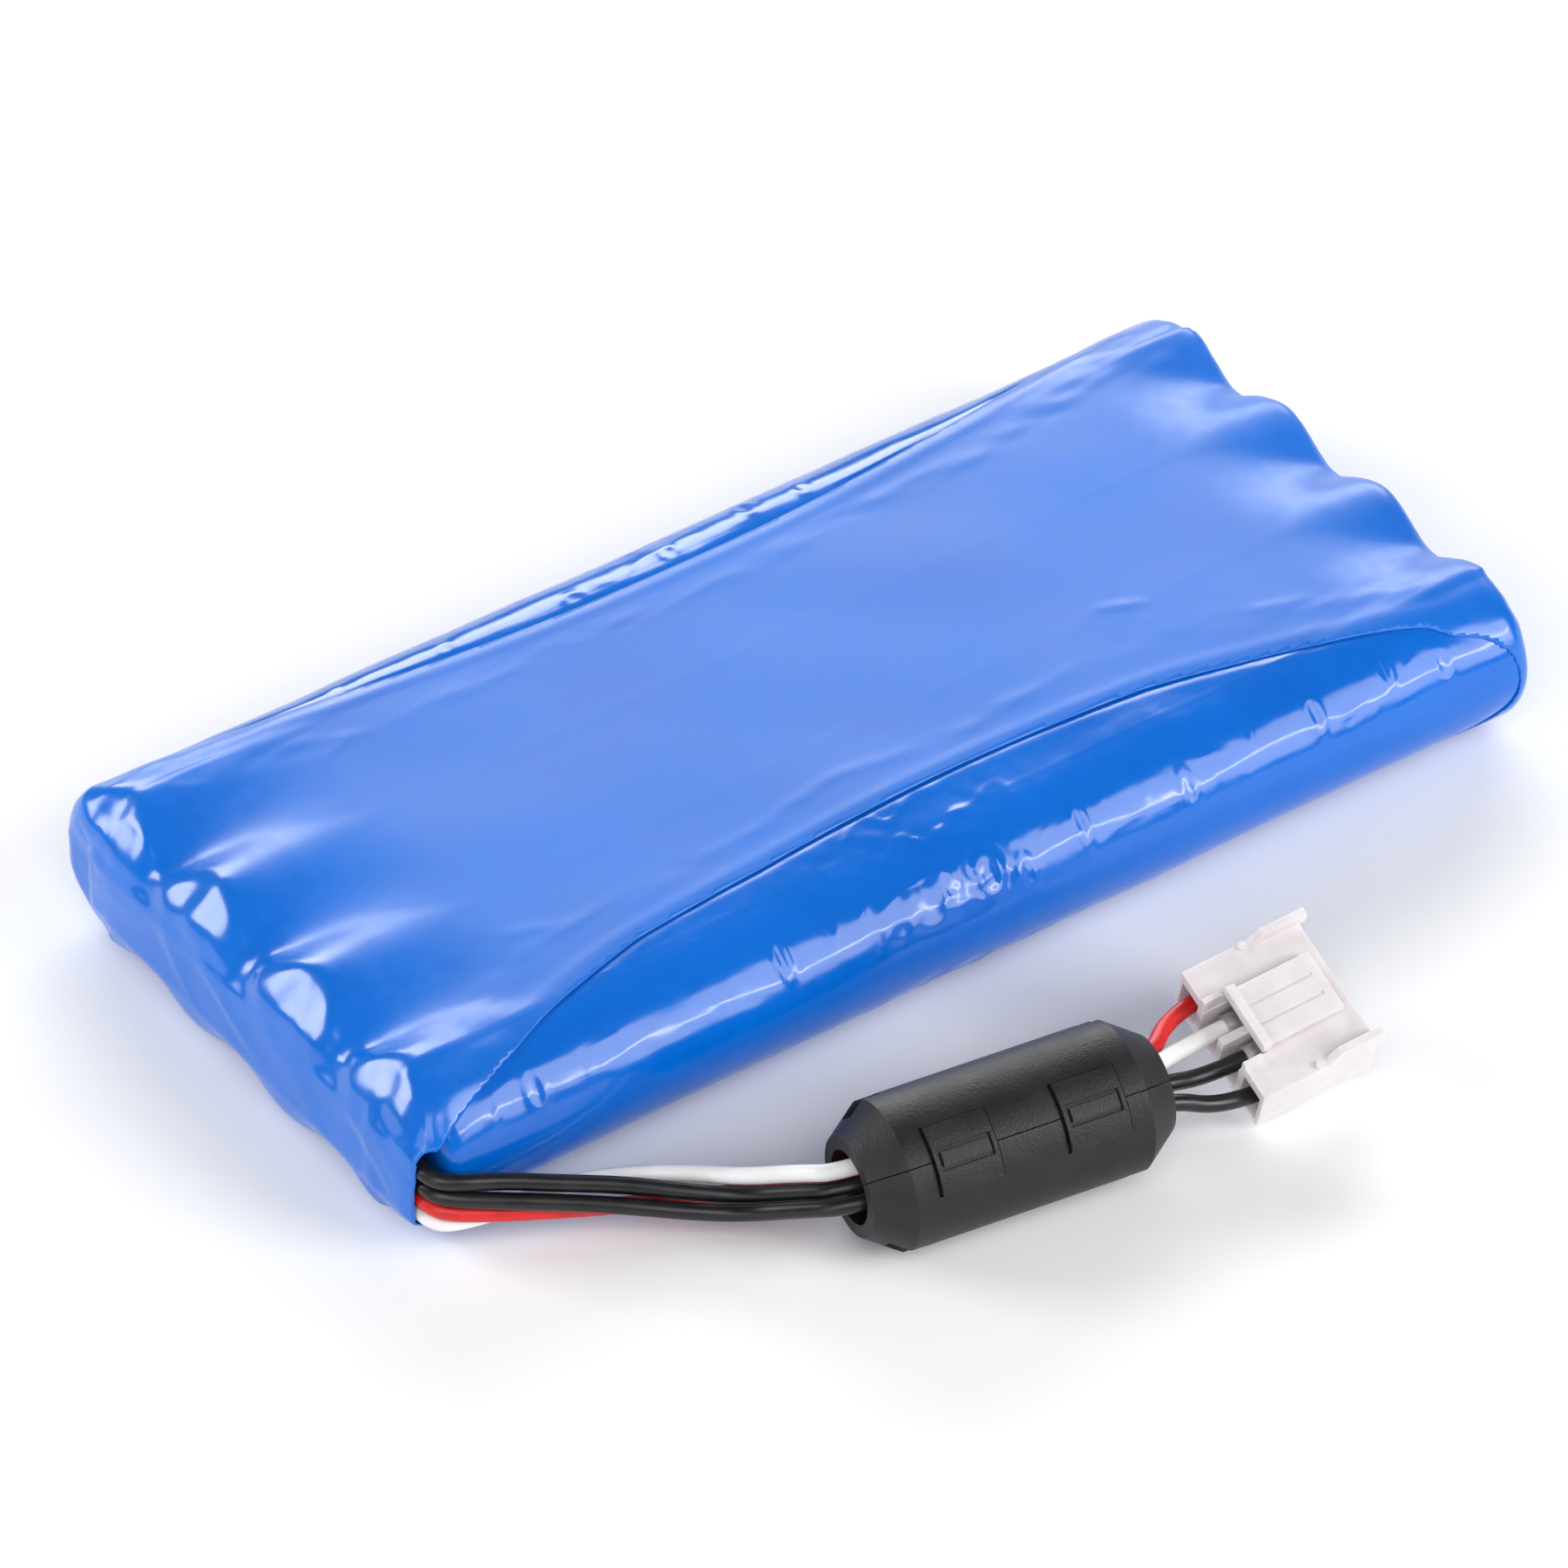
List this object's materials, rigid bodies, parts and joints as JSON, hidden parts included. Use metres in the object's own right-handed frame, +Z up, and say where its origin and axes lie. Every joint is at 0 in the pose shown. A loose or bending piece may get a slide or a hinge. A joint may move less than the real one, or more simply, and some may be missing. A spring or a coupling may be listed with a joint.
{
  "type": "rechargeable battery pack",
  "caption": "Flat rechargeable pack of side-by-side cells in blue shrink film, with a wire harness through a clip-on ferrite sleeve to a latching plug.",
  "frame": {"origin": "middle of the pack's flat underside", "axes": "+X along the cells, away from the end where the wires leave; -Y the long side the wires lie on; +Z up"},
  "size_m": [0.141, 0.1046, 0.0177],
  "materials": {
    "cell_steel": "nickel plated",
    "cell_jacket": "thin green shrink tube",
    "cell_cap_steel": "nickel plated, satin",
    "insulating_paper": "white fibre paper",
    "nickel": "satin nickel strip",
    "fibre_board": "grey-tan fibre board",
    "sensor_epoxy": "black dipped epoxy",
    "fuse_case": "red-brown moulded case",
    "inner_film": "blue shrink film, glossy",
    "outer_film": "blue shrink film, glossy",
    "black_wire": "black PVC",
    "red_wire": "red PVC",
    "white_wire": "white PVC",
    "ferrite": "dark grey sintered ceramic",
    "ferrite_case": "grained black nylon",
    "nylon": "natural nylon",
    "tinned_contact": "tin plated phosphor bronze"
  },
  "bodies": {
    "pack": {"cap_rings": "insulating_paper", "cell_can_1_far": "cell_steel", "cell_can_1_near": "cell_steel", "cell_can_2_far": "cell_steel", "cell_can_2_near": "cell_steel", "cell_can_3_far": "cell_steel", "cell_can_3_near": "cell_steel", "cell_can_4_far": "cell_steel", "cell_can_4_near": "cell_steel", "cell_caps": "cell_cap_steel", "cell_jacket_1_far": "cell_jacket", "cell_jacket_1_near": "cell_jacket", "cell_jacket_2_far": "cell_jacket", "cell_jacket_2_near": "cell_jacket", "cell_jacket_3_far": "cell_jacket", "cell_jacket_3_near": "cell_jacket", "cell_jacket_4_far": "cell_jacket", "cell_jacket_4_near": "cell_jacket", "contact_1": "tinned_contact", "contact_2": "tinned_contact", "contact_3": "tinned_contact", "contact_4": "tinned_contact", "far_end_board": "fibre_board", "far_link_1_2": "nickel", "far_link_3_4": "nickel", "ferrite_case_base": "ferrite_case", "ferrite_core_base": "ferrite", "ferrite_hinge_webs": "ferrite_case", "inner_lead_black_lower": "black_wire", "inner_lead_black_upper": "black_wire", "inner_lead_red": "red_wire", "inner_lead_white": "white_wire", "inner_sleeve": "inner_film", "mid_link_1": "nickel", "mid_link_2": "nickel", "mid_link_3": "nickel", "mid_link_4": "nickel", "near_end_board": "fibre_board", "near_link_2_3": "nickel", "negative_tab": "nickel", "outer_sleeve": "outer_film", "plug_housing": "nylon", "positive_tab": "nickel", "thermal_fuse": "fuse_case", "thermistor": "sensor_epoxy", "wire_black_lower": "black_wire", "wire_black_upper": "black_wire", "wire_red": "red_wire", "wire_white": "white_wire"},
    "sleeve_lid": {"ferrite_case_lid": "ferrite_case", "ferrite_core_lid": "ferrite"},
    "tongue_left": {"latch_tongue_left": "ferrite_case"},
    "tongue_right": {"latch_tongue_right": "ferrite_case"},
    "lever": {"lock_lever": "nylon"}
  },
  "joints": [
    {"name": "sleeve_hinge", "type": "hinge", "parent": "pack", "child": "sleeve_lid", "pos_m": [-0.01679, -0.0532, 0.00234], "axis": [-0.9888, 0.1495, 0], "range_deg": [0, 90]},
    {"name": "tongue_left_flex", "type": "hinge", "parent": "sleeve_lid", "child": "tongue_left", "pos_m": [-0.02528, -0.06115, 0.01558], "axis": [-0.9888, 0.1495, 0], "range_deg": [0, 12], "stiffness_Nm_per_rad": 0.02},
    {"name": "tongue_right_flex", "type": "hinge", "parent": "sleeve_lid", "child": "tongue_right", "pos_m": [-0.01104, -0.0633, 0.01558], "axis": [-0.9888, 0.1495, 0], "range_deg": [0, 12], "stiffness_Nm_per_rad": 0.02},
    {"name": "lock_lever_rock", "type": "hinge", "parent": "pack", "child": "lever", "pos_m": [0.0162, -0.06167, 0.01004], "axis": [-0.0373, -0.9276, -0.3717], "range_deg": [0, 5], "stiffness_Nm_per_rad": 0.02}
  ]
}
